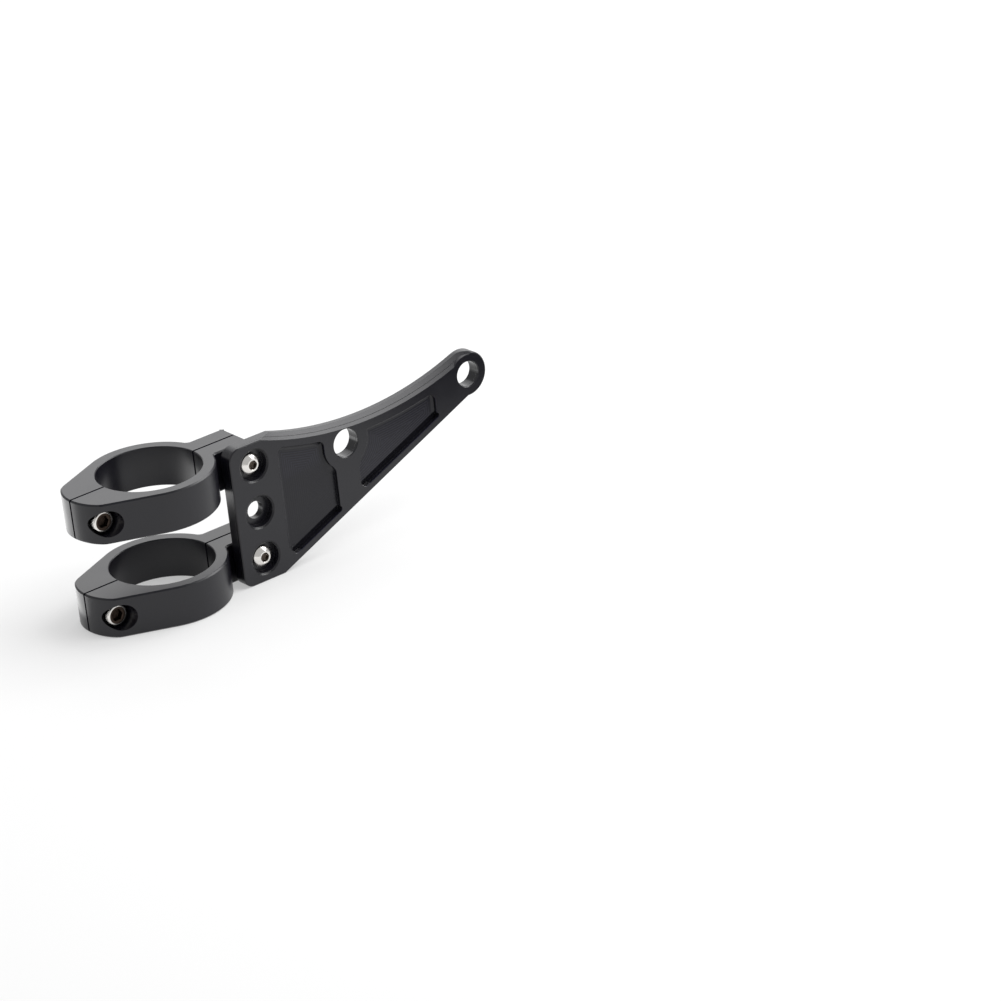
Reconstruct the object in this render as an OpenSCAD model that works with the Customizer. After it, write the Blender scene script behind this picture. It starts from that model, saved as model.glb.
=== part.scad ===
// Headlight mounting bracket for one motorbike fork leg.
// Two split clamps grip the leg and a machined arm plate carries the headlight eye at its tip.
// X runs from the clamp noses to the arm tip, Y runs away from the plate's outer face, Z is up.

/* [Fork clamps] */
// Diameter of the fork leg the clamps are bored for
fork_d = 49; // [46:0.5:51]
// Wall of the clamp rings around the bore
clamp_wall = 6; // [5:0.1:6.5]
// Height of each clamp
clamp_h = 19.5; // [17:0.5:20]
// Distance from one clamp to the next, floor to floor
clamp_pitch = 46.5; // [44:0.5:47]
// Gap left between the two halves of a clamp
split_gap = 0.4; // [0.2:0.1:1]
// How far the clamp nose reaches from the bore axis
nose_reach = 43.5; // [43:0.1:44.5]
// Radius of the blunt end of the nose
nose_end_r = 24.4; // [23.8:0.2:26]
// How deep the straight flanks cut into that round end
nose_cut = 2.1; // [1.8:0.1:2.4]
// Radius of the rounded corners of the nose
nose_corner_r = 8; // [6:0.5:10]
// Width of the straight ear behind the plate
ear_w = 20.4; // [18:0.2:21]
// How far the ear reaches past the ring
ear_run = 18; // [17.5:0.1:19]
// Thickness of the pad that spaces the plate off the ear
pad_t = 3.3; // [2.5:0.1:5]
// Chamfer along the outer edges of the clamps
clamp_edge = 0.7; // [0.3:0.1:0.8]

/* [Arm plate] */
// Thickness of the plate
plate_t = 7.2; // [6:0.1:8]
// Gap between the plate's left end and the rings
ring_gap = 2.6; // [2:0.1:3]
// How far the plate stands over the upper clamp
plate_over = 3; // [2.6:0.1:3.4]
// Where the slanted lower edge leaves the level lower edge, from the row of plate holes
slant_start = 10; // [9:0.2:11]
// Distance of the slanted lower edge from the centre of the headlight eye
slant_gap = 9.7; // [9.4:0.1:10]
// Distance of the headlight eye from the row of plate holes
eye_x = 126.2; // [125.6:0.1:126.8]
// How far the headlight eye lies below the plate's top
eye_drop = 8.8; // [8.4:0.1:9.2]
// Outer radius of the headlight eye
eye_r = 10.9; // [10.6:0.1:11.2]
// Diameter of the headlight eye's bore
eye_bore_d = 12.5; // [10:0.5:13]
// Lowest point of the hollow upper edge, from the row of plate holes
hollow_x = 65.6; // [65:0.1:66.2]
// Height of the centre of the hollow upper edge over the plate's top
hollow_rise = 157.2; // [156.6:0.1:157.8]
// Width of the long bevel along the hollow upper edge
bevel_w = 2.7; // [1.5:0.1:3.2]
// Depth of that bevel across the plate
bevel_t = 4; // [2:0.1:4.4]
// Distance of the middle hole of the arm from the row of plate holes
arm_hole_x = 52.1; // [51.6:0.1:52.6]
// How far the middle hole of the arm lies below the plate's top
arm_hole_drop = 18.2; // [17.8:0.1:18.6]
// Diameter of the middle hole of the arm
arm_hole_d = 13.8; // [12:0.2:14]
// Depth of the two wide pockets
pocket_t = 1.8; // [1:0.1:2.2]
// Depth of the narrow slots, from the front face
slot_t = 3.8; // [3:0.1:4.5]
// Width of the narrow slots
slot_w = 3.2; // [2.6:0.1:3.4]
// Rib left under the slots
rib_w = 3.4; // [3:0.1:4]
// Chamfer along the outer edges of the plate
plate_edge = 0.45; // [0.3:0.05:0.7]

/* [Screws] */
// Distance of the row of three plate holes from the end of the ears
ear_land = 5.6; // [5:0.1:6]
// How far the plate screws sit above the middle of their clamps
row_rise = 1.75; // [1:0.25:2]
// Thread diameter of every screw
screw_d = 6; // [5:0.5:6]
// Clearance around a screw in a plain hole, on the diameter
screw_play = 0.6; // [0.4:0.1:0.8]
// Diameter of the button heads on the plate
button_d = 10.5; // [9.5:0.1:11]
// Height of the button heads
button_h = 3.3; // [2.8:0.1:3.6]
// Diameter of the round counterbores on the plate
counterbore_d = 14.8; // [13:0.1:15]
// Depth of the round counterbores
counterbore_t = 3.8; // [3.6:0.1:4.4]
// Diameter of the indicator hole between the two plate screws
indicator_d = 8.4; // [6:0.2:9]
// Distance of the clamp screws from the tip of the nose
nose_land = 8.2; // [7.6:0.1:8.6]
// Diameter of the cap heads in the noses
cap_d = 10; // [9:0.1:10.4]
// Height of the cap heads
cap_h = 6; // [5:0.1:6]
// Diameter of the deep round pockets the cap heads sit in
cap_pocket_d = 12.6; // [11.6:0.1:12.8]
// How far the cap heads sit in front of the split
cap_seat = 7; // [6:0.1:7.4]

/* [Hidden] */
$fn = 96;

BLACK = [0.13, 0.13, 0.14];
STEEL = [0.78, 0.77, 0.75];

bore_r = fork_d / 2;
ring_r = bore_r + clamp_wall;
half_ear = ear_w / 2;
ear_reach = ring_r + ear_run;
nose_screw_x = nose_reach - nose_land;
ear_corner_r = 1.5;
fillet_r = 2.5;
bore_edge = 0.4;
plate_back = -(half_ear + pad_t);
plate_front = plate_back - plate_t;
pad_left = ear_reach - 12;
row_x = ear_reach - ear_land;
row_z = clamp_h / 2 + row_rise;

// Points of the nose: the corner's centre, where the flank leaves the ring, and the line from the end to there.
nose_angle = asin((ring_r - nose_end_r + nose_cut) / (nose_reach - nose_end_r));
flank_out = [-sin(nose_angle), -cos(nose_angle)];
flank_along = [-cos(nose_angle), sin(nose_angle)];
nose_centre = [nose_end_r - nose_reach, 0];
nose_mid = nose_centre[0] + flank_out[0] * (ring_r - nose_centre * flank_out);
corner_run = nose_centre[0] * flank_along[0]
    + sqrt(pow(nose_end_r - nose_corner_r, 2)
           - pow(ring_r - nose_corner_r - nose_centre[0] * flank_out[0], 2));
corner_at = flank_out * (ring_r - nose_corner_r) + flank_along * corner_run;
corner_out = (corner_at - nose_centre) / norm(corner_at - nose_centre);
corner_steps = 4;
corner_arc = arc(corner_at, nose_corner_r, atan2(corner_out[1], corner_out[0]),
                 atan2(flank_out[1], flank_out[0]), corner_steps);
nose_past = corner_arc[0] + unit(corner_arc[0] - corner_arc[1]) * 2;
// The flank runs a hair inside the ring, and the ring runs on under it, so that they cross instead of touching.
flank_from = flank_out * (ring_r - 0.01);
ring_to = [-sin(nose_angle + 6), -cos(nose_angle + 6)];
nose_line = concat([nose_past], [for (i = [1 : corner_steps]) corner_arc[i]], [flank_from]);

// The plate is drawn from its row of holes and from its lower edge, which lies level with the lower clamp.
// Its eye touches the hollow edge, which fixes the radius of the hollow, and gives the slanted edge its angle.
plate_left = sqrt(pow(ring_r, 2) - pow(plate_back, 2)) + ring_gap - row_x;
plate_h = clamp_pitch + clamp_h + plate_over;
hollow_z = plate_h + hollow_rise;
arm_hole_z = plate_h - arm_hole_drop;
hollow_at = [hollow_x, hollow_z];
eye_at = [eye_x, plate_h - eye_drop];
hollow_r = norm(hollow_at - eye_at) - eye_r;
eye_touch = eye_at + (hollow_at - eye_at) / norm(hollow_at - eye_at) * eye_r;
slant_from = [slant_start, 0];
slant_reach = eye_at - slant_from;
slant_angle = atan2(slant_reach[1], slant_reach[0]) - asin(slant_gap / norm(slant_reach));
slant_along = [cos(slant_angle), sin(slant_angle)];
slant_in = [-sin(slant_angle), cos(slant_angle)];
slant_to = slant_from + slant_along * (slant_reach * slant_along);
hollow_from = hollow_x - sqrt(pow(hollow_r, 2) - pow(hollow_z - plate_h, 2));
hole_at = [arm_hole_x, arm_hole_z];
eye_edge = plate_edge + 0.1;
slant_edge = plate_edge + 0.05;
// Where the two wide pockets begin and end.
near_left = plate_left + 26.4;
near_right = arm_hole_x - 7.3;
far_left = arm_hole_x + 5.8;
far_right = eye_x - 20.5;
// How far the slots' lower walls lie below the lower edges of the pockets.
slot_lip = 0.3;

function flipped(p) = [p[0], -p[1]];
function on_circle(c, r, a) = c + r * [cos(a), sin(a)];
function arc(c, r, a0, a1, n) = [for (i = [0 : n]) on_circle(c, r, a0 + (a1 - a0) * i / n)];
function unit(v) = v / norm(v);
// Height of the curve a distance d under the hollow edge.
function under_hollow(x, d) = hollow_z - sqrt(pow(hollow_r + d, 2) - pow(x - hollow_x, 2));
// Height of the line a distance d above the slanted edge.
function over_slant(x, d) = (x - slant_start) * tan(slant_angle) + d / cos(slant_angle);

// The points that round one corner b between its neighbours a and c.
function rounded_corner(a, b, c, r, n) =
    let (u = unit(a - b), v = unit(c - b), half = acos(u * v) / 2, reach = r / tan(half),
         centre = b + unit(u + v) * r / sin(half), p = b + u * reach - centre, q = b + v * reach - centre,
         a0 = atan2(p[1], p[0]), turn = atan2(p[0] * q[1] - p[1] * q[0], p * q))
    [for (i = [0 : n]) on_circle(centre, r, a0 + turn * i / n)];
// Rounds every corner [x, y, r] of an outline whose r is above zero.
function rounded(points) = let (k = len(points)) [
    for (i = [0 : k - 1])
        let (a = points[(i + k - 1) % k], b = points[i], c = points[(i + 1) % k])
        each b[2] > 0
            ? rounded_corner([a[0], a[1]], [b[0], b[1]], [c[0], c[1]], b[2], 7)
            : [[b[0], b[1]]]];

// A disc with both rims chamfered.
module chamfered_disc(at, r, t, edge) {
    translate([at[0], at[1], 0])
        rotate_extrude()
            polygon([[0, 0], [r - edge, 0], [r, edge], [r, t - edge], [r - edge, t], [0, t]]);
}

// A chamfered disc whose rim runs from the direction u to the direction v, less than half a turn apart.
// It reaches a little past its centre, so that it overlaps what it joins everywhere but at its rim.
module chamfered_sector(at, r, t, edge, u, v) {
    apex = at - unit(u + v) * r / 3;
    intersection() {
        chamfered_disc(at, r, t, edge);
        linear_extrude(t)
            polygon([apex, apex + (at + u * r - apex) * 3, at + unit(u + v) * r * 9,
                     apex + (at + v * r - apex) * 3]);
    }
}

// A bore with both rims chamfered, to be cut out.
module chamfered_bore(at, r, t, edge) {
    translate([at[0], at[1], 0])
        rotate_extrude()
            polygon([[0, -1], [r + edge + 1, -1], [r, edge], [r, t - edge], [r + edge + 1, t + 1], [0, t + 1]]);
}

// The chamfers along the straight edge from p to q of an outline drawn anticlockwise, to be cut off.
// They run past both ends by over.
module edge_cut(p, q, t, edge, over = 0) {
    step = q - p;
    start = p - unit(step) * over;
    translate([start[0], start[1], 0])
        rotate([0, 0, atan2(step[1], step[0])])
            rotate([90, 0, 90])
                linear_extrude(norm(step) + 2 * over) {
                    polygon([[-1, -1], [edge + 1, -1], [-1, edge + 1]]);
                    polygon([[-1, t + 1], [edge + 1, t + 1], [-1, t - edge - 1]]);
                }
}

// The inner corner between the ring and the ear, filled to a round.
module ear_fillet(side) {
    reach = ring_r + fillet_r;
    y = half_ear + fillet_r;
    centre = [sqrt(reach * reach - y * y), y];
    mirror([0, side < 0 ? 1 : 0, 0])
        difference() {
            linear_extrude(clamp_h)
                polygon([centre * (ring_r / reach), centre, [centre[0], half_ear], [centre[0] - 4, half_ear - 2]]);
            chamfered_bore(centre, fillet_r, clamp_h, clamp_edge);
        }
}

// The nose, cut to its blunt end, its corners and its flanks. The end's disc is left of nose_mid.
module nose_block() {
    last = len(nose_line) - 1;
    outward = corner_out * 20;
    intersection() {
        union() {
            chamfered_disc(nose_centre, nose_end_r, clamp_h, clamp_edge);
            translate([nose_mid, -ring_r * 2, 0])
                cube([ring_r * 2, ring_r * 4, clamp_h]);
        }
        difference() {
            linear_extrude(clamp_h)
                polygon(concat([nose_past + outward], nose_line, [[0, 0]],
                               [for (i = [last : -1 : 0]) flipped(nose_line[i])],
                               [flipped(nose_past + outward), [-nose_reach - 20, 0]]));
            for (i = [1 : last]) {
                edge_cut(nose_line[i - 1], nose_line[i], clamp_h, clamp_edge, 1);
                edge_cut(flipped(nose_line[i]), flipped(nose_line[i - 1]), clamp_h, clamp_edge, 1);
            }
        }
    }
}

// One whole clamp with its floor at zero, before it is bored and split.
module clamp_blank() {
    ear_in = ear_reach - ear_corner_r;
    ear_side = half_ear - ear_corner_r;
    chamfered_sector([0, 0], ring_r, clamp_h, clamp_edge, ring_to, [1, 0]);
    chamfered_sector([0, 0], ring_r, clamp_h, clamp_edge, [1, 0], flipped(ring_to));
    nose_block();
    difference() {
        linear_extrude(clamp_h)
            polygon([[bore_r - 4, -half_ear], [ear_in, -half_ear], [ear_reach, -ear_side],
                     [ear_reach, ear_side], [ear_in, half_ear], [bore_r - 4, half_ear]]);
        edge_cut([bore_r - 4, -half_ear], [ear_in, -half_ear], clamp_h, clamp_edge);
        edge_cut([ear_reach, -ear_side], [ear_reach, ear_side], clamp_h, clamp_edge);
        edge_cut([ear_in, half_ear], [bore_r - 4, half_ear], clamp_h, clamp_edge);
    }
    for (side = [-1, 1]) {
        chamfered_disc([ear_in, side * ear_side], ear_corner_r, clamp_h, clamp_edge);
        ear_fillet(side);
    }
}

// The half space kept for one half of a clamp: side is -1 in front of the split and 1 behind it.
module half_space(side) {
    big = 200;
    translate([0, side * (big / 2 + split_gap / 2), clamp_h / 2])
        cube([big, big, big], center = true);
}

// A round hole along Y at x and z, from y0 to y1.
module cross_hole(x, z, y0, y1, d) {
    translate([x, y1, z])
        rotate([90, 0, 0])
            cylinder(h = y1 - y0, d = d);
}

// The half of a clamp that faces the plate, with its floor at floor_z.
module clamp_front(floor_z) {
    screw_z = row_height(floor_z) - floor_z;
    translate([0, 0, floor_z])
        difference() {
            union() {
                intersection() {
                    clamp_blank();
                    half_space(-1);
                }
                translate([pad_left, plate_back, 0])
                    cube([ear_reach - pad_left, pad_t + 2, clamp_h]);
            }
            chamfered_bore([0, 0], bore_r, clamp_h, bore_edge);
            cross_hole(row_x, screw_z, plate_back - 1, 1, screw_d + screw_play);
            cross_hole(-nose_screw_x, clamp_h / 2, -cap_seat - 1, 1, screw_d + screw_play);
            cross_hole(-nose_screw_x, clamp_h / 2, -40, -cap_seat, cap_pocket_d);
        }
}

// The half of a clamp behind the split, tapped for both screws, with its floor at floor_z.
module clamp_rear(floor_z) {
    screw_z = row_height(floor_z) - floor_z;
    translate([0, 0, floor_z])
        difference() {
            intersection() {
                clamp_blank();
                half_space(1);
            }
            chamfered_bore([0, 0], bore_r, clamp_h, bore_edge);
            cross_hole(row_x, screw_z, -1, half_ear + 1, screw_d);
            cross_hole(-nose_screw_x, clamp_h / 2, -1, nose_screw_end, screw_d);
        }
}

nose_screw_end = 14;
button_screw_end = half_ear - 0.8;
// Height of the plate screw that belongs to the clamp whose floor is at floor_z.
function row_height(floor_z) = row_z + floor_z;

// A hexagonal socket cut into a screw head from z = 0 down, af across the flats.
module hex_socket(af, depth) {
    rotate([180, 0, 0])
        translate([0, 0, -1])
            cylinder(h = depth + 1, d = af / cos(30), $fn = 6);
    translate([0, 0, -0.25])
        rotate_extrude()
            polygon([[0, 0], [af / 2 - 0.05, 0], [af / 2 + 0.45, 0.5], [0, 0.5]]);
}

// The plain body of a screw along +Z from the seat, with a chamfered tip.
module shank(length) {
    tip = 0.8;
    rotate_extrude()
        polygon([[0, -length], [screw_d / 2 - tip, -length], [screw_d / 2, -length + tip],
                 [screw_d / 2, 0.5], [0, 0.5]]);
}

// A button head screw seated at z = 0 with its head upwards.
module button_screw(length) {
    rim = 0.5;
    crown = button_h + 0.2;
    centre = (crown * crown - rim * rim - pow(button_d / 2, 2)) / (2 * (crown - rim));
    shank(length);
    difference() {
        intersection() {
            cylinder(h = button_h, d = button_d);
            translate([0, 0, centre])
                sphere(r = crown - centre);
        }
        translate([0, 0, button_h])
            hex_socket(4, 2.2);
    }
}

// A socket cap screw seated at z = 0 with its head upwards.
module cap_screw(length) {
    edge = 0.6;
    shank(length);
    difference() {
        rotate_extrude()
            polygon([[0, 0], [cap_d / 2 - 0.2, 0], [cap_d / 2, 0.2], [cap_d / 2, cap_h - edge],
                     [cap_d / 2 - edge, cap_h], [0, cap_h]]);
        translate([0, 0, cap_h])
            hex_socket(5, 3);
    }
}

// Outline of the wide pocket beside the screws, bitten by a round around the arm hole.
function near_pocket() =
    let (left = near_left, right = near_right - 5.2, bite = 12.5, n = 8,
         a0 = 180 + asin(1.4 / bite), a1 = 180 + acos((arm_hole_x - near_right + 0.3) / bite))
    rounded(concat(
        [[left, over_slant(left, rib_w + slot_lip), 5]],
        [[near_right, over_slant(near_right, rib_w + slot_lip), 1.6]],
        [[near_right, on_circle(hole_at, bite, a1)[1] - 1.2, 3]],
        [for (p = arc(hole_at, bite, a1 - 6, a0, 6)) [p[0], p[1], 0]],
        [[right, under_hollow(right, 6), 3.5]],
        [for (i = [1 : n]) let (x = right - 4 - i * (right - left - 8) / n) [x, under_hollow(x, 6), 0]],
        [[left, under_hollow(left + 2, 6), 3]]));

// Outline of the long pocket towards the eye.
function far_pocket() =
    let (left = far_left, right = far_right, top = far_left + 6.6, bite = 12.3, n = 8, a1 = 302, a0 = 352)
    rounded(concat(
        [[left, over_slant(left, rib_w) + 0.6, 2.4], [right, over_slant(right, rib_w + slot_lip), 1.6]],
        [[right, under_hollow(right, 6.6) - 0.6, 3.4]],
        [for (i = [1 : n]) let (x = right - 4 - i * (right - top - 8.2) / n) [x, under_hollow(x, 6.6), 0]],
        [[top, under_hollow(top, 6.6), 1.4]],
        [for (p = arc(hole_at, bite, a0, a1 + 8, 6)) [p[0], p[1], 0]],
        [[left, on_circle(hole_at, bite, a1 + 8)[1] - 5.4, 2]]));

// A narrow slot along the slanted edge between x0 and x1, to be cut out.
// Its straight walls lie a hair inside its round ends, so that they cross instead of touching.
module slant_slot(x0, x1) {
    ends = [for (x = [x0, x1]) [x, over_slant(x, rib_w + slot_w / 2)]];
    side = slant_in * (slot_w / 2 - 0.01);
    translate([0, 0, plate_t - slot_t])
        linear_extrude(slot_t + 1)
            union() {
                for (end = ends)
                    translate(end)
                        circle(d = slot_w, $fn = 32);
                polygon([ends[0] - side, ends[1] - side, ends[1] + side, ends[0] + side]);
            }
}

// The hollow upper edge, with the long bevel at the front and a fine one at the back, to be cut off.
module hollow_cut() {
    translate([hollow_x, hollow_z, 0])
        rotate_extrude($fn = 360)
            polygon([[0, -1], [hollow_r + plate_edge + 1, -1], [hollow_r, plate_edge],
                     [hollow_r, plate_t + 1], [0, plate_t + 1]]);
}

// The long bevel, which stops at the boss of the eye, to be cut off.
module bevel_cut() {
    slope = bevel_w / bevel_t;
    difference() {
        translate([hollow_x, hollow_z, 0])
            rotate_extrude($fn = 360)
                polygon([[hollow_r - 8, plate_t - bevel_t], [hollow_r, plate_t - bevel_t],
                         [hollow_r + bevel_w + slope, plate_t + 1], [hollow_r - 8, plate_t + 1]]);
        translate([eye_at[0], eye_at[1], -1])
            cylinder(h = plate_t + 2, r = eye_r - 1.2);
    }
}

// The solid of the plate lying flat, its back face at zero and its front face at plate_t.
module plate_blank() {
    low_r = 5;
    top_r = 6;
    difference() {
        linear_extrude(plate_t)
            polygon([[plate_left + low_r, 0], slant_from, slant_to, eye_at, eye_touch,
                     [eye_touch[0], eye_touch[1] + 3], [hollow_x, eye_touch[1] + 3], [hollow_x, plate_h],
                     [plate_left + top_r, plate_h], [plate_left, plate_h - top_r], [plate_left, low_r]]);
        edge_cut([plate_left, plate_h - top_r], [plate_left, low_r], plate_t, plate_edge, 2);
        edge_cut([plate_left + low_r, 0], slant_from, plate_t, plate_edge, 2);
        edge_cut(slant_from, slant_to, plate_t, slant_edge, 2);
        edge_cut([hollow_from + 4, plate_h], [plate_left + top_r, plate_h], plate_t, plate_edge, 2);
        hollow_cut();
    }
    // The two corners stand a hair proud, so that they cross the straight edges instead of touching them.
    chamfered_disc([plate_left + low_r, low_r], low_r + 0.01, plate_t, plate_edge);
    chamfered_disc([plate_left + top_r, plate_h - top_r], top_r + 0.01, plate_t, plate_edge);
    chamfered_disc(eye_at, eye_r, plate_t, eye_edge);
}

module arm_plate() {
    color(BLACK)
        translate([row_x, plate_back, 0])
            rotate([90, 0, 0])
                difference() {
                    plate_blank();
                    bevel_cut();
                    chamfered_bore(eye_at, eye_bore_d / 2, plate_t, 0.35);
                    chamfered_bore(hole_at, arm_hole_d / 2, plate_t, 0.35);
                    for (i = [0 : 2])
                        translate([0, row_z + i * clamp_pitch / 2, 0]) {
                            translate([0, 0, -1])
                                cylinder(h = plate_t + 2, d = i == 1 ? indicator_d : screw_d + screw_play);
                            translate([0, 0, plate_t - counterbore_t])
                                cylinder(h = counterbore_t + 1, d = counterbore_d);
                            translate([0, 0, plate_t - 0.35])
                                cylinder(h = 0.7, d1 = counterbore_d, d2 = counterbore_d + 1.4);
                        }
                    for (outline = [near_pocket(), far_pocket()])
                        translate([0, 0, plate_t - pocket_t])
                            linear_extrude(pocket_t + 1)
                                polygon(outline);
                    slant_slot(near_left + 4.2, near_right - 0.8);
                    slant_slot(far_left + 2.8, far_right - 0.4);
                }
}

module upper_clamp_front() {
    color(BLACK) clamp_front(clamp_pitch);
}

module upper_clamp_rear() {
    color(BLACK) clamp_rear(clamp_pitch);
}

module lower_clamp_front() {
    color(BLACK) clamp_front(0);
}

module lower_clamp_rear() {
    color(BLACK) clamp_rear(0);
}

// A cap screw in the nose of the clamp whose floor is at floor_z.
module nose_screw(floor_z) {
    color(STEEL)
        translate([-nose_screw_x, -cap_seat, floor_z + clamp_h / 2])
            rotate([90, 0, 0])
                cap_screw(cap_seat + nose_screw_end - 1);
}

// A button screw through the plate into the clamp whose floor is at floor_z.
module plate_screw(floor_z) {
    seat = plate_front + counterbore_t;
    color(STEEL)
        translate([row_x, seat, row_height(floor_z)])
            rotate([90, 0, 0])
                button_screw(button_screw_end - seat);
}

module upper_clamp_screw() {
    nose_screw(clamp_pitch);
}

module lower_clamp_screw() {
    nose_screw(0);
}

module upper_plate_screw() {
    plate_screw(clamp_pitch);
}

module lower_plate_screw() {
    plate_screw(0);
}

arm_plate();
upper_clamp_front();
upper_clamp_rear();
lower_clamp_front();
lower_clamp_rear();
upper_clamp_screw();
lower_clamp_screw();
upper_plate_screw();
lower_plate_screw();
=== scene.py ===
"""Looks of a headlight mounting bracket that clamps round one motorbike fork leg.

The bracket's plate and its split clamps are milled from aluminium and anodised black, and stainless
steel screws hold them together. Sizes are in metres, apart from names that end in _mm and classes that
say millimetres. Patterns are laid out in the part's own frame: X from the clamp noses to the tip of the
arm, Y away from the plate's outer face, Z up along the fork leg.
"""

import logging
import math
from dataclasses import dataclass, field
from enum import Enum

import bmesh
import bpy
from mathutils import Matrix, Vector

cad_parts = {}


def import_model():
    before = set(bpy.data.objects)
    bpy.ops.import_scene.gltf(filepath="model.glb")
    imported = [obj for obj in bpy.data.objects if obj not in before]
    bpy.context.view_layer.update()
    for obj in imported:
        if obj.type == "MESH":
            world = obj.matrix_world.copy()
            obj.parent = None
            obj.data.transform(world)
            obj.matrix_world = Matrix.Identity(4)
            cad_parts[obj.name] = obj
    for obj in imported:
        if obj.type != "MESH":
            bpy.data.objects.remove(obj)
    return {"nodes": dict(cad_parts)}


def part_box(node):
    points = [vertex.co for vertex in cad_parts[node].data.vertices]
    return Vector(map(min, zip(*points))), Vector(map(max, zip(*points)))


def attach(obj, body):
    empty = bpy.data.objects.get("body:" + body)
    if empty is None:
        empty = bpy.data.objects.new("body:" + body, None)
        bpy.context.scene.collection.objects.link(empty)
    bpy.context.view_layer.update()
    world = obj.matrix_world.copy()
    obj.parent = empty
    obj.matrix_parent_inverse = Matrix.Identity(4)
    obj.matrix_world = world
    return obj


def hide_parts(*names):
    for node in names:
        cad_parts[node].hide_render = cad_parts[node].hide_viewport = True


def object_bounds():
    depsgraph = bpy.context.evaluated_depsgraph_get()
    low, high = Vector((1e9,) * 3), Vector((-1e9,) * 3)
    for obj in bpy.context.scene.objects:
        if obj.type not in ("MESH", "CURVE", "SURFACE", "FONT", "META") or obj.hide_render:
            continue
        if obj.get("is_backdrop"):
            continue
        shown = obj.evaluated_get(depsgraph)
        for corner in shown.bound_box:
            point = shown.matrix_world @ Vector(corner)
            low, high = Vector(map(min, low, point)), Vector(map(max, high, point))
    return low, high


MM = 0.001
SPECULAR = 0.5
BEVEL_SAMPLES = 6
DOME_STEPS = 10
FOOT_BREAK_MM = 0.25
log = logging.getLogger("bracket")


class Level(Enum):
    """Which of the two clamps a piece belongs to."""

    UPPER = "upper"
    LOWER = "lower"


class Half(Enum):
    """Which half of a split clamp a piece is."""

    FRONT = "front"
    REAR = "rear"


@dataclass(frozen=True)
class Colour:
    """A linear colour."""

    red: float
    green: float
    blue: float

    def rgba(self) -> tuple[float, float, float, float]:
        """Return the colour with full cover."""
        return (self.red, self.green, self.blue, 1.0)

    def scaled(self, share: float) -> "Colour":
        """Return the colour times share."""
        return Colour(self.red * share, self.green * share, self.blue * share)


class Field:
    """A number that varies over a surface, held by a socket of a shader's node tree."""

    def __init__(self, graph: "Graph", socket: bpy.types.NodeSocket) -> None:
        """Wrap a socket.

        Args:
            graph: The node tree that the socket belongs to.
            socket: The output socket that carries the number.
        """
        self.graph = graph
        self.socket = socket

    def __add__(self, other: "Field | float") -> "Field":
        """Return the sum."""
        return self.graph.combine("ADD", self, other)

    def __sub__(self, other: "Field | float") -> "Field":
        """Return the difference."""
        return self.graph.combine("SUBTRACT", self, other)

    def __rsub__(self, other: float) -> "Field":
        """Return a plain number less this field."""
        return self.graph.combine("SUBTRACT", other, self)

    def __mul__(self, other: "Field | float") -> "Field":
        """Return the product."""
        return self.graph.combine("MULTIPLY", self, other)

    def least(self, other: "Field | float") -> "Field":
        """Return the smaller of the two."""
        return self.graph.combine("MINIMUM", self, other)

    def most(self, other: "Field | float") -> "Field":
        """Return the larger of the two."""
        return self.graph.combine("MAXIMUM", self, other)

    def above(self, limit: float, soft: float) -> "Field":
        """Return 0 well under the limit and 1 well over it.

        Args:
            limit: Where the step lies.
            soft: Half the width of the step.

        Returns:
            The smooth step.
        """
        node = self.graph.node("ShaderNodeMapRange", interpolation_type="SMOOTHSTEP")
        node.inputs["From Min"].default_value = limit - soft
        node.inputs["From Max"].default_value = limit + soft
        self.graph.join(self.socket, node.inputs["Value"])
        return Field(self.graph, node.outputs["Result"])

    def between(self, low: float, high: float, soft: float) -> "Field":
        """Return 1 between low and high, and 0 outside, over an edge of twice soft."""
        return self.above(low, soft) * (1.0 - self.above(high, soft))

    def waves(self, pitch: float) -> "Field":
        """Return rounded grooves that repeat every pitch, from 0 to 1."""
        turned = self * (math.pi / pitch)
        return self.graph.alone("ABSOLUTE", self.graph.alone("SINE", turned))


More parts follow.
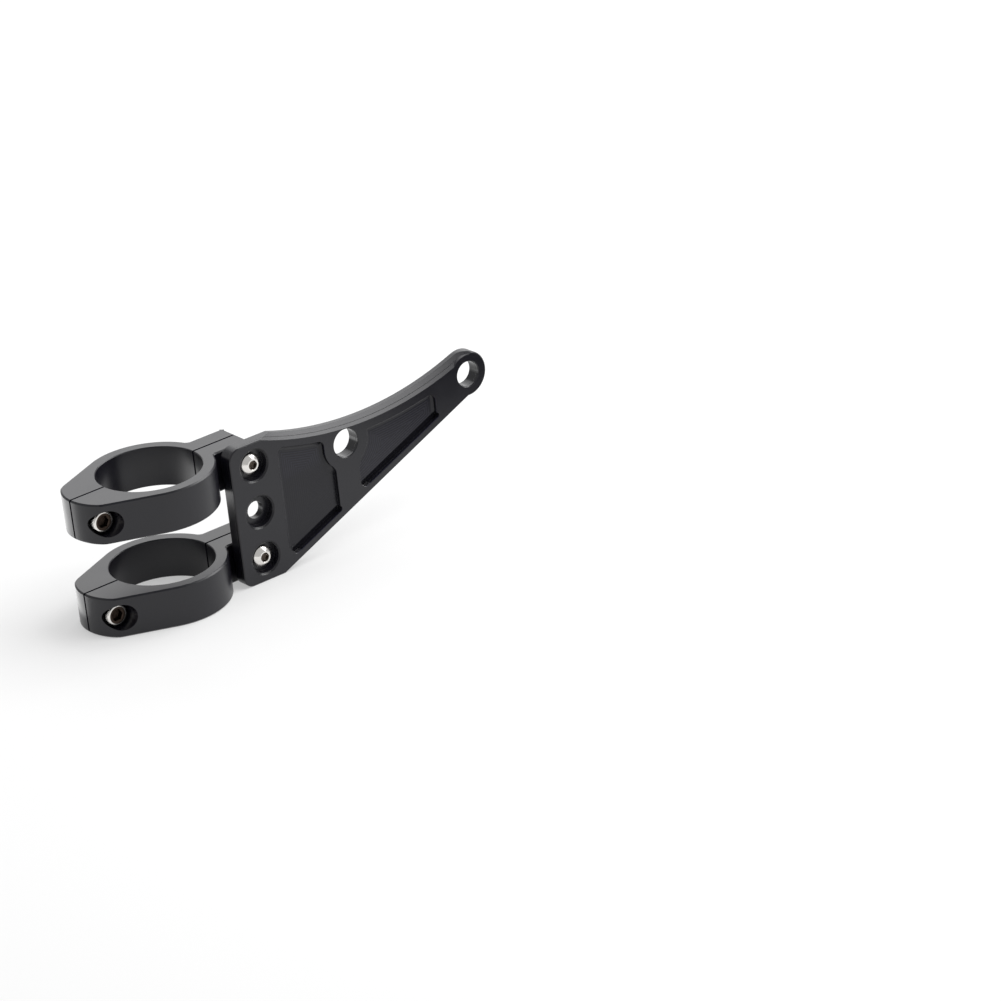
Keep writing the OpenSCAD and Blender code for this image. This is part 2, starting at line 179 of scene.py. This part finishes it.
class Graph:
    """A material's node tree, written as sums of fields."""

    def __init__(self, name: str) -> None:
        """Make a material with an empty shader.

        Args:
            name: The material's name.
        """
        self.material = bpy.data.materials.new(name)
        self.material.use_nodes = True
        self.tree = self.material.node_tree
        self.shader = self.tree.nodes["Principled BSDF"]
        self.place = self.node("ShaderNodeTexCoord").outputs["Object"]

    def node(self, kind: str, **settings: object) -> bpy.types.Node:
        """Add a node and set its properties.

        Args:
            kind: The node's type name.
            **settings: Properties to set on it.

        Returns:
            The new node.
        """
        made = self.tree.nodes.new(kind)
        for key, value in settings.items():
            setattr(made, key, value)
        return made

    def join(self, source: bpy.types.NodeSocket, target: bpy.types.NodeSocket) -> None:
        """Link two sockets."""
        self.tree.links.new(source, target)

    def feed(self, value: Field | float, target: bpy.types.NodeSocket) -> None:
        """Give a socket a field, or a plain number."""
        if isinstance(value, Field):
            self.join(value.socket, target)
        else:
            target.default_value = value

    def combine(self, operation: str, first: Field | float, second: Field | float) -> Field:
        """Return the result of a two-sided operation."""
        node = self.node("ShaderNodeMath", operation=operation)
        self.feed(first, node.inputs[0])
        self.feed(second, node.inputs[1])
        return Field(self, node.outputs[0])

    def alone(self, operation: str, value: Field) -> Field:
        """Return the result of a one-sided operation."""
        node = self.node("ShaderNodeMath", operation=operation)
        self.feed(value, node.inputs[0])
        return Field(self, node.outputs[0])

    def axes(self) -> tuple[Field, Field, Field]:
        """Return the place on the surface along X, Y and Z, in millimetres."""
        split = self.node("ShaderNodeSeparateXYZ")
        self.join(self.place, split.inputs[0])
        return tuple(Field(self, split.outputs[i]) * (1 / MM) for i in range(3))

    def distance(self, first: Field, second: Field) -> Field:
        """Return the length of the vector with these two parts."""
        return self.alone("SQRT", first * first + second * second)

    def noise(self, size: tuple[float, float, float], detail: float = 2.0) -> Field:
        """Return noise from 0 to 1.

        Args:
            size: How large its grains are along X, Y and Z, in metres.
            detail: How many finer layers it has.

        Returns:
            The noise, about 0.5 on average.
        """
        mapping = self.node("ShaderNodeMapping")
        mapping.inputs["Scale"].default_value = [1 / s for s in size]
        self.join(self.place, mapping.inputs["Vector"])
        texture = self.node("ShaderNodeTexNoise")
        texture.inputs["Scale"].default_value = 1.0
        texture.inputs["Detail"].default_value = detail
        self.join(mapping.outputs[0], texture.inputs["Vector"])
        return Field(self, texture.outputs["Fac"])

    def blend(self, share: Field, low: Colour, high: Colour) -> bpy.types.NodeSocket:
        """Return a colour that runs from low, where share is 0, to high, where it is 1."""
        ramp = self.node("ShaderNodeMix", data_type="RGBA")
        self.join(share.socket, ramp.inputs["Factor"])
        colours = [s for s in ramp.inputs if s.type == "RGBA"]
        colours[0].default_value = low.rgba()
        colours[1].default_value = high.rgba()
        return next(s for s in ramp.outputs if s.type == "RGBA")

    def relief(self, height: Field, edge: float) -> None:
        """Give the shader grooves, and edges that are broken as a deburred edge is.

        Args:
            height: The height of the relief, in millimetres.
            edge: The radius of the broken edges, in metres.
        """
        bump = self.node("ShaderNodeBump")
        bump.inputs["Strength"].default_value = 1.0
        bump.inputs["Distance"].default_value = MM
        self.join(height.socket, bump.inputs["Height"])
        broken = self.node("ShaderNodeBevel", samples=BEVEL_SAMPLES)
        broken.inputs["Radius"].default_value = edge
        self.join(broken.outputs["Normal"], bump.inputs["Normal"])
        self.join(bump.outputs["Normal"], self.shader.inputs["Normal"])


@dataclass(frozen=True)
class BlackAnodising:
    """The satin black skin of the milled aluminium."""

    shade: Colour = Colour(0.0062, 0.0060, 0.0098)
    darkest: float = 0.8
    palest: float = 6.0
    cloud: tuple[float, float, float] = (11 * MM, 9 * MM, 7 * MM)
    cloud_share: float = 0.08
    ior: float = 1.5
    roughness: float = 0.3
    roughness_swing: float = 0.07
    grain: float = 0.35 * MM
    grain_layers: float = 3.0
    grain_depth_mm: float = 0.0016
    edge: float = 0.2 * MM
    split_mm: float = 0.2
    split_rim_mm: float = 0.4
    split_soft_mm: float = 0.08
    bore_roughness: float = 0.12

    def base(self, graph: Graph, marks_and_highlight: Field | float = 0.0, turned: Field | float = 0.0) -> Field:
        """Set the colour and gloss on a graph's shader.

        Args:
            graph: The material to set.
            marks_and_highlight: How far the cutter's marks, and a painted highlight along the pocket
                rims, lighten the skin, from 0 to 1.
            turned: Where the skin lies on a bore that is turned smooth, from 0 to 1.

        Returns:
            The height of the fine etched grain, in millimetres.
        """
        cloud = graph.noise(self.cloud)
        fine = graph.noise((self.grain, self.grain, self.grain), self.grain_layers)
        shader = graph.shader
        dark, pale = self.shade.scaled(self.darkest), self.shade.scaled(self.palest)
        skin = graph.blend(cloud * self.cloud_share + marks_and_highlight, dark, pale)
        graph.join(skin, shader.inputs["Base Color"])
        gloss = cloud * self.roughness_swing + (self.roughness - self.roughness_swing / 2)
        if isinstance(turned, Field):
            gloss = gloss - turned * (self.roughness - self.bore_roughness)
        graph.join(gloss.socket, shader.inputs["Roughness"])
        shader.inputs["IOR"].default_value = self.ior
        return fine * self.grain_depth_mm

    def material(self, name: str) -> bpy.types.Material:
        """Return the anodised finish of a clamp half, with painted shade along its saw cut: a matt dark
        band where the specular level is turned off.

        Args:
            name: The material's name.

        Returns:
            The material.
        """
        graph = Graph(name)
        grain = self.base(graph)
        off_cut = graph.alone("ABSOLUTE", graph.axes()[1])
        # Painted shade: within split_mm + split_rim_mm of the saw cut the specular level falls to
        # nothing, so a dark band lies along the cut.
        outside_split_shade = off_cut.above(self.split_mm + self.split_rim_mm, self.split_soft_mm)
        graph.join((outside_split_shade * SPECULAR).socket, graph.shader.inputs["Specular IOR Level"])
        graph.relief(grain, self.edge)
        return graph.material


@dataclass(frozen=True)
class PocketMarks:
    """The cutter's rings and round foot in the plate's two wide pockets, with a painted highlight along
    their rims, in millimetres.
    """

    floor_y: float = -18.9
    floor_reach: float = 0.05
    soft: float = 0.02
    pitch: float = 1.15
    depth: float = 0.03
    foot_r: float = 2.4
    line_tone: float = 0.42
    line_soft: float = 0.4
    near_right: float = 92.0
    near_right_soft: float = 1.0
    near_fade_z: float = 46.0
    near_fade_soft: float = 4.0
    rim_y: float = -20.66
    rim_depth: float = 0.42
    rim_depth_soft: float = 0.03
    rim_outside: float = 0.9
    rim_inside: float = 0.6
    rim_soft: float = 0.2
    rim_highlight_tone: float = 0.9
    hollow_x: float = 108.5
    hollow_z: float = 226.2
    hollow_r: float = 165.8
    slant_x: float = 52.9
    slant_deg: float = 23.14
    land: float = 6.3
    rib: float = 3.7
    hole_x: float = 95.0
    hole_z: float = 50.8
    hole_land: float = 12.4
    near_left: float = 56.35
    far_right: float = 148.6

    def draw(self, graph: Graph) -> tuple[Field, Field, Field]:
        """Return the height of the marks, how far the rings and a painted rim highlight lighten the
        skin, and where the pocket floors lie.

        Args:
            graph: The material to draw them in.

        Returns:
            The height, in millimetres, how far the rings and the painted highlight along the rims
            lighten the skin, from 0 to 1, and where the pocket floors lie, from 0 to 1.
        """
        x, y, z = graph.axes()
        slant = math.radians(self.slant_deg)
        from_hollow = graph.distance(x - self.hollow_x, z - self.hollow_z)
        from_hollow = from_hollow - (self.hollow_r + self.land)
        from_slant = z * math.cos(slant) - (x - self.slant_x) * math.sin(slant) - self.rib
        from_hole = graph.distance(x - self.hole_x, z - self.hole_z) - self.hole_land
        from_ends = (x - self.near_left).least(self.far_right - x)
        inside = from_hollow.least(from_slant).least(from_hole).least(from_ends)
        floor = y.between(self.floor_y - self.floor_reach, self.floor_y + self.floor_reach, self.soft)
        rise = (self.foot_r - inside).most(0.0)
        foot = rise * rise * (0.5 / self.foot_r)
        rings = inside.waves(self.pitch)
        far = x.above(self.near_right, self.near_right_soft)
        high = z.above(self.near_fade_z, self.near_fade_soft)
        lines = (1.0 - rings) * far.most(high) * inside.above(self.foot_r, self.line_soft) * floor
        # Painted highlight: a pale band across the mouth of each pocket's rim stands in for light
        # caught by the rim's edge.
        wall = y.between(self.rim_y, self.rim_y + self.rim_depth, self.rim_depth_soft)
        rim = wall * inside.between(-self.rim_outside, self.rim_inside, self.rim_soft)
        # The ring lines are real cutter's marks; the rim band is painted highlight.
        marks_and_highlight = lines * self.line_tone + rim * self.rim_highlight_tone
        return (foot - rings * self.depth) * floor, marks_and_highlight, floor


@dataclass(frozen=True)
class BrokenRim:
    """A rim in the plate's front face that a countersink has broken, in millimetres."""

    x: float
    z: float
    radius: float
    width: float
    slope: float = 1.15
    face_y: float = -20.7
    before_face: float = 0.1
    behind_face: float = 0.06
    soft: float = 0.02

    def height(self, graph: Graph) -> Field:
        """Return the height of the countersunk band, and 0 off the face that it lies in.

        Args:
            graph: The material to draw it in.

        Returns:
            The height, in millimetres.
        """
        x, y, z = graph.axes()
        run = graph.distance(x - self.x, z - self.z) - (self.radius + self.width)
        low, high = self.face_y - self.before_face, self.face_y + self.behind_face
        on_face = y.between(low, high, self.soft)
        return run.least(0.0).most(-2 * self.width) * self.slope * on_face


@dataclass(frozen=True)
class SteppedEnd:
    """The round end of a slot, whose wall was left in two steps that lean outwards, in millimetres.

    Each step is the place along Y where it starts and its height.
    """

    x: float
    z: float
    radius: float
    reach: float = 0.9
    reach_soft: float = 0.08
    floor_y: float = -16.95
    floor_soft: float = 0.02
    steps: tuple[tuple[float, float], ...] = ((-20.65, 1.25), (-18.75, 1.2))
    slope: float = 0.95

    def height(self, graph: Graph) -> Field:
        """Return the height of the leaning steps, and 0 away from the slot's end.

        Args:
            graph: The material to draw them in.

        Returns:
            The height, in millimetres.
        """
        x, y, z = graph.axes()
        off = graph.distance(x - self.x, z - self.z)
        near = 1.0 - off.above(self.radius + self.reach, self.reach_soft)
        near = near * (1.0 - y.above(self.floor_y, self.floor_soft))
        rise = near * 0.0
        for start, depth in self.steps:
            rise = rise + (y - start).most(0.0).least(depth)
        return rise * near * self.slope


@dataclass(frozen=True)
class StainlessSteel:
    """The bright turned finish of a screw, with painted shade over its socket and the middle of its
    head.
    """

    bright: Colour = Colour(0.78, 0.76, 0.73)
    roughness: float = 0.17
    dark_roughness: float = 0.4
    dark_soft_mm: float = 0.12
    turning_pitch_mm: float = 0.22
    turning_depth_mm: float = 0.0012
    thread_pitch_mm: float = 1.0
    thread_depth_mm: float = 0.3
    thread_start_mm: float = 1.0
    thread_soft_mm: float = 0.2
    knurl_depth_mm: float = 0.22
    knurl_foot_mm: float = 0.6
    knurl_soft_mm: float = 0.1
    knurl_rim_mm: float = 0.03
    edge: float = 0.08 * MM

    def material(self, name: str, centre: Vector, head: "Head", seat_mm: float) -> bpy.types.Material:
        """Return the finish of one screw.

        Args:
            name: The material's name.
            centre: A point on the screw's axis, which runs along Y, in metres.
            head: The form of its head.
            seat_mm: Where its head rests along Y.

        Returns:
            The material.
        """
        graph = Graph(name)
        x, y, z = graph.axes()
        off = graph.distance(x - centre.x / MM, z - centre.z / MM)
        # Painted shade: the metal within dark_r of the axis is painted dark brown and made rougher,
        # over the socket and the middle of the head's top.
        shaded_middle = 1.0 - off.above(head.dark_r, self.dark_soft_mm)
        graph.join(graph.blend(shaded_middle, self.bright, head.dark), graph.shader.inputs["Base Color"])
        gloss = shaded_middle * (self.dark_roughness - self.roughness) + self.roughness
        graph.join(gloss.socket, graph.shader.inputs["Roughness"])
        graph.shader.inputs["Metallic"].default_value = 1.0
        turned = off.waves(self.turning_pitch_mm) * self.turning_depth_mm
        shank = y.above(seat_mm + self.thread_start_mm, self.thread_soft_mm)
        thread = y.waves(self.thread_pitch_mm) * self.thread_depth_mm * shank
        around = graph.combine("ARCTAN2", z - centre.z / MM, x - centre.x / MM)
        low, high = seat_mm - head.knurl_top, seat_mm - self.knurl_foot_mm
        side = off.above(head.knurl_r, self.knurl_rim_mm) * y.between(low, high, self.knurl_soft_mm)
        knurl = around.waves(2 * math.pi / head.knurls) * side * self.knurl_depth_mm
        graph.relief(turned + thread + knurl, self.edge)
        return graph.material


def dress(node: bpy.types.Object, material: bpy.types.Material) -> None:
    """Give every material slot of a node the same material.

    Args:
        node: The node to dress.
        material: The material that it gets.
    """
    for slot in node.material_slots:
        slot.material = material
    log.info("%s wears %s", node.name, material.name)


@dataclass(frozen=True)
class Head:
    """The form of a screw's head, in millimetres from its seat and its axis.

    Each point of the profile is a radius and a height. Within dark_r the metal is painted dark as
    painted shade, and it is knurled outside knurl_r up to knurl_top.
    """

    profile: tuple[tuple[float, float], ...]
    height: float
    socket: float
    socket_depth: float
    dark_r: float
    dark: Colour
    knurl_r: float
    knurl_top: float
    knurls: int = 40


def round_head(
    rim_r: float, land: float, flat_r: float, height: float, steep_deg: float, easy_deg: float
) -> list[tuple[float, float]]:
    """Return the profile of a domed head, from its seat to its flat top.

    Args:
        rim_r: The head's radius.
        land: The height of its upright rim.
        flat_r: The radius of the flat round its socket.
        height: The head's height.
        steep_deg: How steep the dome is at the rim.
        easy_deg: How steep it is at the flat.

    Returns:
        The points, each a radius and a height.
    """
    points = [(rim_r - FOOT_BREAK_MM, 0.0), (rim_r, FOOT_BREAK_MM), (rim_r, land)]
    across, up = rim_r - flat_r, height - land
    bend = math.radians(steep_deg - easy_deg) / 2
    tilt = math.atan2(up, across)
    for i in range(1, DOME_STEPS + 1):
        turn = bend * i / DOME_STEPS
        share = math.sin(turn) / math.sin(bend)
        run = math.hypot(across, up) * share
        angle = tilt + bend - turn
        points.append((rim_r - run * math.cos(angle), land + run * math.sin(angle)))
    return points


BUTTON = Head(
    profile=tuple(round_head(5.25, 1.65, 2.95, 3.3, 42.0, 28.0)),
    height=3.3,
    socket=4.0,
    socket_depth=2.1,
    dark_r=2.2,
    dark=Colour(0.14, 0.115, 0.095),
    knurl_r=9.0,
    knurl_top=0.0,
)
CAP = Head(
    profile=(
        (4.8, 0.0), (5.0, 0.2), (5.0, 5.35), (4.93, 5.62),
        (4.75, 5.85), (4.5, 5.97), (4.3, 6.0), (3.0, 5.92),
    ),
    height=6.0,
    socket=5.0,
    socket_depth=3.0,
    dark_r=4.1,
    dark=Colour(0.055, 0.04, 0.032),
    knurl_r=4.96,
    knurl_top=5.2,
)


@dataclass
class ArmPlate:
    """The milled plate that joins the clamps and carries the headlight eye, in millimetres.

    Each bore is its centre along X and Z and how far its smooth skin reaches from there.
    """

    nodes: dict[str, bpy.types.Object]
    finish: BlackAnodising = field(default_factory=BlackAnodising)
    marks: PocketMarks = field(default_factory=PocketMarks)
    row_x: float = 42.9
    row_z: tuple[float, ...] = (11.5, 34.75, 58.0)
    counterbore_r: float = 7.4
    rim_width: float = 0.5
    rim_offset: float = 0.45
    slot_ends: tuple[tuple[float, float], ...] = ((60.55, 8.71), (103.6, 27.1))
    slot_r: float = 1.6
    bores: tuple[tuple[float, float, float], ...] = ((169.1, 60.2, 6.4), (95.0, 50.8, 7.05))
    bore_soft: float = 0.1
    floor_shine: float = 0.37

    def rims(self) -> list[BrokenRim | SteppedEnd]:
        """Return the countersunk rims of the counterbores and the stepped ends of the slots."""
        rim_r = self.counterbore_r + self.rim_offset
        rims = [BrokenRim(self.row_x, z, rim_r, self.rim_width) for z in self.row_z]
        return rims + [SteppedEnd(x, z, self.slot_r) for x, z in self.slot_ends]

    def dress(self) -> None:
        """Anodise the plate, with cutter's marks in its pockets, broken rims and smooth bores."""
        graph = Graph("plate anodising")
        marks, marks_and_highlight, floors = self.marks.draw(graph)
        x, _, z = graph.axes()
        turned = floors * 0.0
        for centre_x, centre_z, reach in self.bores:
            off = graph.distance(x - centre_x, z - centre_z)
            turned = turned.most(1.0 - off.above(reach, self.bore_soft))
        height = self.finish.base(graph, marks_and_highlight, turned) + marks
        for rim in self.rims():
            height = height + rim.height(graph)
        shine = SPECULAR - floors * (SPECULAR - self.floor_shine)
        graph.join(shine.socket, graph.shader.inputs["Specular IOR Level"])
        graph.relief(height, self.finish.edge)
        dress(self.nodes["arm_plate"], graph.material)


@dataclass
class ForkClamp:
    """The two halves of one split clamp."""

    nodes: dict[str, bpy.types.Object]
    level: Level
    finish: BlackAnodising = field(default_factory=BlackAnodising)

    def dress(self) -> None:
        """Anodise both halves."""
        for half in Half:
            finish = self.finish.material(f"{self.level.value} clamp anodising {half.value}")
            dress(self.nodes[f"{self.level.value}_clamp_{half.value}"], finish)


@dataclass
class Screw:
    """One stainless steel screw with a hexagonal socket, turned with finer facets than its node has.

    Its sizes are in millimetres. The mouth is the cone that leads into the socket, and the drill is
    the cone at the socket's foot.
    """

    name: str
    head: Head
    shank_r: float = 3.0
    tip: float = 0.5
    mouth_share: float = 1.17
    mouth_top: float = 0.02
    mouth_foot: float = 0.22
    drill_share: float = 0.6
    drill_depth: float = 0.25
    sides: int = 60
    sharp_deg: float = 24.0
    finish: StainlessSteel = field(default_factory=StainlessSteel)

    def ring(
        self, mesh: bmesh.types.BMesh, radius: float, place: Vector, hexagonal: bool
    ) -> list[bmesh.types.BMVert]:
        """Add one ring of points round the screw's axis.

        Args:
            mesh: The mesh to add to.
            radius: The ring's radius, or half a hexagon's distance across its flats, in millimetres.
            place: The ring's centre, in metres.
            hexagonal: Whether the ring is a hexagon.

        Returns:
            The points.
        """
        points = []
        for i in range(self.sides):
            angle = 2 * math.pi * i / self.sides
            bulge = math.cos((angle % (math.pi / 3)) - math.pi / 6) if hexagonal else 1.0
            reach = radius / bulge * MM
            out = Vector((reach * math.cos(angle), 0, reach * math.sin(angle)))
            points.append(mesh.verts.new(place + out))
        return points

    def turn(self, axis: Vector, seat: float, end: float) -> bpy.types.Mesh:
        """Return the screw's mesh.

        Args:
            axis: A point on the screw's axis, in metres.
            seat: Where its head rests along Y, in metres.
            end: Where its tip ends along Y, in metres.

        Returns:
            The mesh, closed.
        """
        length = (end - seat) / MM
        top = self.head.profile[-1][1]
        foot = top - self.head.socket_depth
        flats = self.head.socket / 2
        steps = [(self.shank_r - self.tip, -length, False), (self.shank_r, self.tip - length, False)]
        steps += [(self.shank_r, 0.0, False)] + [(r, h, False) for r, h in self.head.profile]
        steps += [(flats * self.mouth_share, top - self.mouth_top, False)]
        steps += [(flats, top - self.mouth_foot, True), (flats, foot, True)]
        steps += [(flats * self.drill_share, foot - self.drill_depth, False)]
        mesh = bmesh.new()
        rings = []
        for radius, height, hexagonal in steps:
            place = Vector((axis.x, seat - height * MM, axis.z))
            rings.append(self.ring(mesh, radius, place, hexagonal))
        for first, second in zip(rings, rings[1:]):
            for i in range(self.sides):
                j = (i + 1) % self.sides
                mesh.faces.new((first[i], first[j], second[j], second[i]))
        mesh.faces.new(rings[0][::-1])
        mesh.faces.new(rings[-1])
        bmesh.ops.recalc_face_normals(mesh, faces=mesh.faces[:])
        made = bpy.data.meshes.new(self.name)
        mesh.to_mesh(made)
        mesh.free()
        made.shade_smooth()
        made.set_sharp_from_angle(angle=math.radians(self.sharp_deg))
        return made

    def build(self) -> bpy.types.Object:
        """Put the turned screw in its node's place.

        Returns:
            The screw.
        """
        low, high = (Vector(corner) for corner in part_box(self.name))
        axis = (low + high) / 2
        seat = low.y + self.head.height * MM
        title = self.name.replace("_", " ") + " steel"
        screw = bpy.data.objects.new(f"{self.name}_turned", self.turn(axis, seat, high.y))
        bpy.context.scene.collection.objects.link(screw)
        screw.data.materials.append(self.finish.material(title, axis, self.head, seat / MM))
        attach(screw, "root")
        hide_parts(self.name)
        log.info("%s is turned with %d faces", self.name, len(screw.data.polygons))
        return screw


@dataclass(frozen=True)
class PhotoCamera:
    """The camera as the photograph was taken, found by fitting the part's own outlines to it."""

    place: tuple[float, float, float] = (-0.922932, -1.488993, 0.821974)
    yaw_deg: float = 36.9195
    pitch_deg: float = 24.3608
    roll_deg: float = -6.0565
    focal_px: float = 4207.23
    photo_px: int = 1001
    sensor_mm: float = 36.0
    clip: tuple[float, float] = (0.05, 20.0)

    def build(self) -> bpy.types.Object:
        """Add the camera and make it the scene's own.

        Returns:
            The camera.
        """
        data = bpy.data.cameras.new("photo camera")
        data.sensor_width = self.sensor_mm
        data.lens = self.focal_px / self.photo_px * self.sensor_mm
        data.clip_start, data.clip_end = self.clip
        camera = bpy.data.objects.new("photo camera", data)
        level = Matrix.Rotation(-math.radians(self.yaw_deg), 3, "Z")
        upright = level @ Matrix.Rotation(math.radians(90 - self.pitch_deg), 3, "X")
        turned = upright @ Matrix.Rotation(math.radians(self.roll_deg), 3, "Z")
        camera.matrix_world = Matrix.Translation(self.place) @ turned.to_4x4()
        bpy.context.scene.collection.objects.link(camera)
        bpy.context.scene.camera = camera
        return camera


@dataclass(frozen=True)
class SoftBox:
    """A square lamp panel that is aimed at the bracket."""

    name: str
    place: tuple[float, float, float]
    width: float
    height: float
    radiance: float

    def build(self, aim: Vector) -> bpy.types.Object:
        """Add the lamp.

        Args:
            aim: The point that it shines at.

        Returns:
            The lamp.
        """
        data = bpy.data.lights.new(self.name, "AREA")
        data.shape = "RECTANGLE"
        data.size, data.size_y = self.width, self.height
        data.energy = self.radiance * self.width * self.height * math.pi
        lamp = bpy.data.objects.new(self.name, data)
        place = Vector(self.place)
        turned = (place - aim).to_track_quat("Z", "Y").to_matrix().to_4x4()
        lamp.matrix_world = Matrix.Translation(place) @ turned
        lamp.visible_camera = False
        bpy.context.scene.collection.objects.link(lamp)
        return lamp


@dataclass(frozen=True)
class Card:
    """A photographer's flat black or white card, which only reflections show."""

    name: str
    centre: tuple[float, float, float]
    width: float
    depth: float
    strength: float
    turn_deg: float = 0.0

    def build(self) -> bpy.types.Object:
        """Add the card.

        Returns:
            The card.
        """
        bpy.ops.mesh.primitive_plane_add(size=1.0, location=self.centre)
        card = bpy.context.object
        card.name = self.name
        card.scale = (self.width, self.depth, 1.0)
        card.rotation_euler.z = math.radians(self.turn_deg)
        material = bpy.data.materials.new(self.name.replace("_", " "))
        material.use_nodes = True
        tree = material.node_tree
        glow = tree.nodes.new("ShaderNodeEmission")
        glow.inputs["Strength"].default_value = self.strength
        tree.links.new(glow.outputs[0], tree.nodes["Material Output"].inputs["Surface"])
        card.data.materials.append(material)
        card.visible_camera = card.visible_diffuse = card.visible_shadow = False
        card.visible_transmission = card.visible_volume_scatter = False
        card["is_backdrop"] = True
        return card


@dataclass
class Studio:
    """The white floor, the pale surroundings and the lamps."""

    floor_size: float = 12.0
    floor_shade: Colour = Colour(0.45, 0.45, 0.45)
    lift: float = 0.4
    surround: Colour = Colour(1.0, 1.0, 1.0)
    surround_strength: float = 0.55
    boxes: tuple[SoftBox, ...] = (
        SoftBox("back softbox", (1.0, 1.7, 1.0), 2.4, 1.6, 1.25),
        SoftBox("overhead softbox", (1.0, -0.38, 1.3), 1.6, 1.7, 4.0),
        SoftBox("gap softbox", (1.05, 0.75, 1.45), 1.3, 0.5, 1.6),
    )
    cards: tuple[Card, ...] = (
        Card("dark_card", (0.4425, -0.35, 0.0015), 0.5, 0.5, 0.0),
        Card("white_card", (-0.0913, 0.1545, 0.001), 0.25, 0.16, 2.3, 138.0),
        Card("dark_flag", (0.14, -0.35, 0.8), 1.15, 0.34, 0.0, -15.0),
    )

    def floor(self) -> bpy.types.Object:
        """Lay the floor, which looks white and keeps the bracket's shadow.

        Returns:
            The floor.
        """
        bpy.ops.mesh.primitive_plane_add(size=self.floor_size, location=(0.0, 0.0, 0.0))
        floor = bpy.context.object
        floor.name = "studio_floor"
        material = bpy.data.materials.new("studio floor")
        material.use_nodes = True
        tree = material.node_tree
        shader = tree.nodes["Principled BSDF"]
        shader.inputs["Base Color"].default_value = self.floor_shade.rgba()
        shader.inputs["Roughness"].default_value = 1.0
        shader.inputs["Specular IOR Level"].default_value = 0.0
        glow = tree.nodes.new("ShaderNodeEmission")
        path = tree.nodes.new("ShaderNodeLightPath")
        seen = tree.nodes.new("ShaderNodeMath")
        seen.operation = "MAXIMUM"
        tree.links.new(path.outputs["Is Camera Ray"], seen.inputs[0])
        tree.links.new(path.outputs["Is Glossy Ray"], seen.inputs[1])
        share = tree.nodes.new("ShaderNodeMath")
        share.operation = "MULTIPLY"
        share.inputs[1].default_value = self.lift
        tree.links.new(seen.outputs[0], share.inputs[0])
        tree.links.new(share.outputs[0], glow.inputs["Strength"])
        both = tree.nodes.new("ShaderNodeAddShader")
        tree.links.new(shader.outputs[0], both.inputs[0])
        tree.links.new(glow.outputs[0], both.inputs[1])
        tree.links.new(both.outputs[0], tree.nodes["Material Output"].inputs["Surface"])
        floor.data.materials.append(material)
        floor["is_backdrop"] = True
        return floor

    def surroundings(self) -> None:
        """Light the scene from all round, and show white behind it."""
        world = bpy.data.worlds.new("pale room")
        world.use_nodes = True
        tree = world.node_tree
        room = tree.nodes["Background"]
        room.inputs["Color"].default_value = self.surround.rgba()
        room.inputs["Strength"].default_value = self.surround_strength
        white = tree.nodes.new("ShaderNodeBackground")
        white.inputs["Strength"].default_value = 1.0
        path = tree.nodes.new("ShaderNodeLightPath")
        mix = tree.nodes.new("ShaderNodeMixShader")
        tree.links.new(path.outputs["Is Camera Ray"], mix.inputs[0])
        tree.links.new(room.outputs[0], mix.inputs[1])
        tree.links.new(white.outputs[0], mix.inputs[2])
        tree.links.new(mix.outputs[0], tree.nodes["World Output"].inputs["Surface"])
        bpy.context.scene.world = world

    def build(self, aim: Vector) -> None:
        """Set up the whole studio.

        Args:
            aim: The point that the lamps shine at.
        """
        self.floor()
        self.surroundings()
        for box in self.boxes:
            box.build(aim)
        for card in self.cards:
            card.build()
        bpy.context.scene.view_settings.view_transform = "Standard"


@dataclass
class Bracket:
    """The whole bracket: the plate, its two clamps and their screws."""

    nodes: dict[str, bpy.types.Object]

    def dress(self) -> None:
        """Dress every sub-assembly in order."""
        ArmPlate(self.nodes).dress()
        for level in Level:
            ForkClamp(self.nodes, level).dress()
            Screw(f"{level.value}_clamp_screw", CAP).build()
            Screw(f"{level.value}_plate_screw", BUTTON).build()


def main() -> None:
    """Load the frame, dress the bracket and set up the studio."""
    logging.basicConfig(level=logging.INFO, format="%(message)s")
    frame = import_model()
    cad = [list(corner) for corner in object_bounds()]
    Bracket(frame["nodes"]).dress()
    PhotoCamera().build()
    low, high = (Vector(corner) for corner in cad)
    Studio().build((low + high) / 2)


if __name__ == "__main__":
    main()
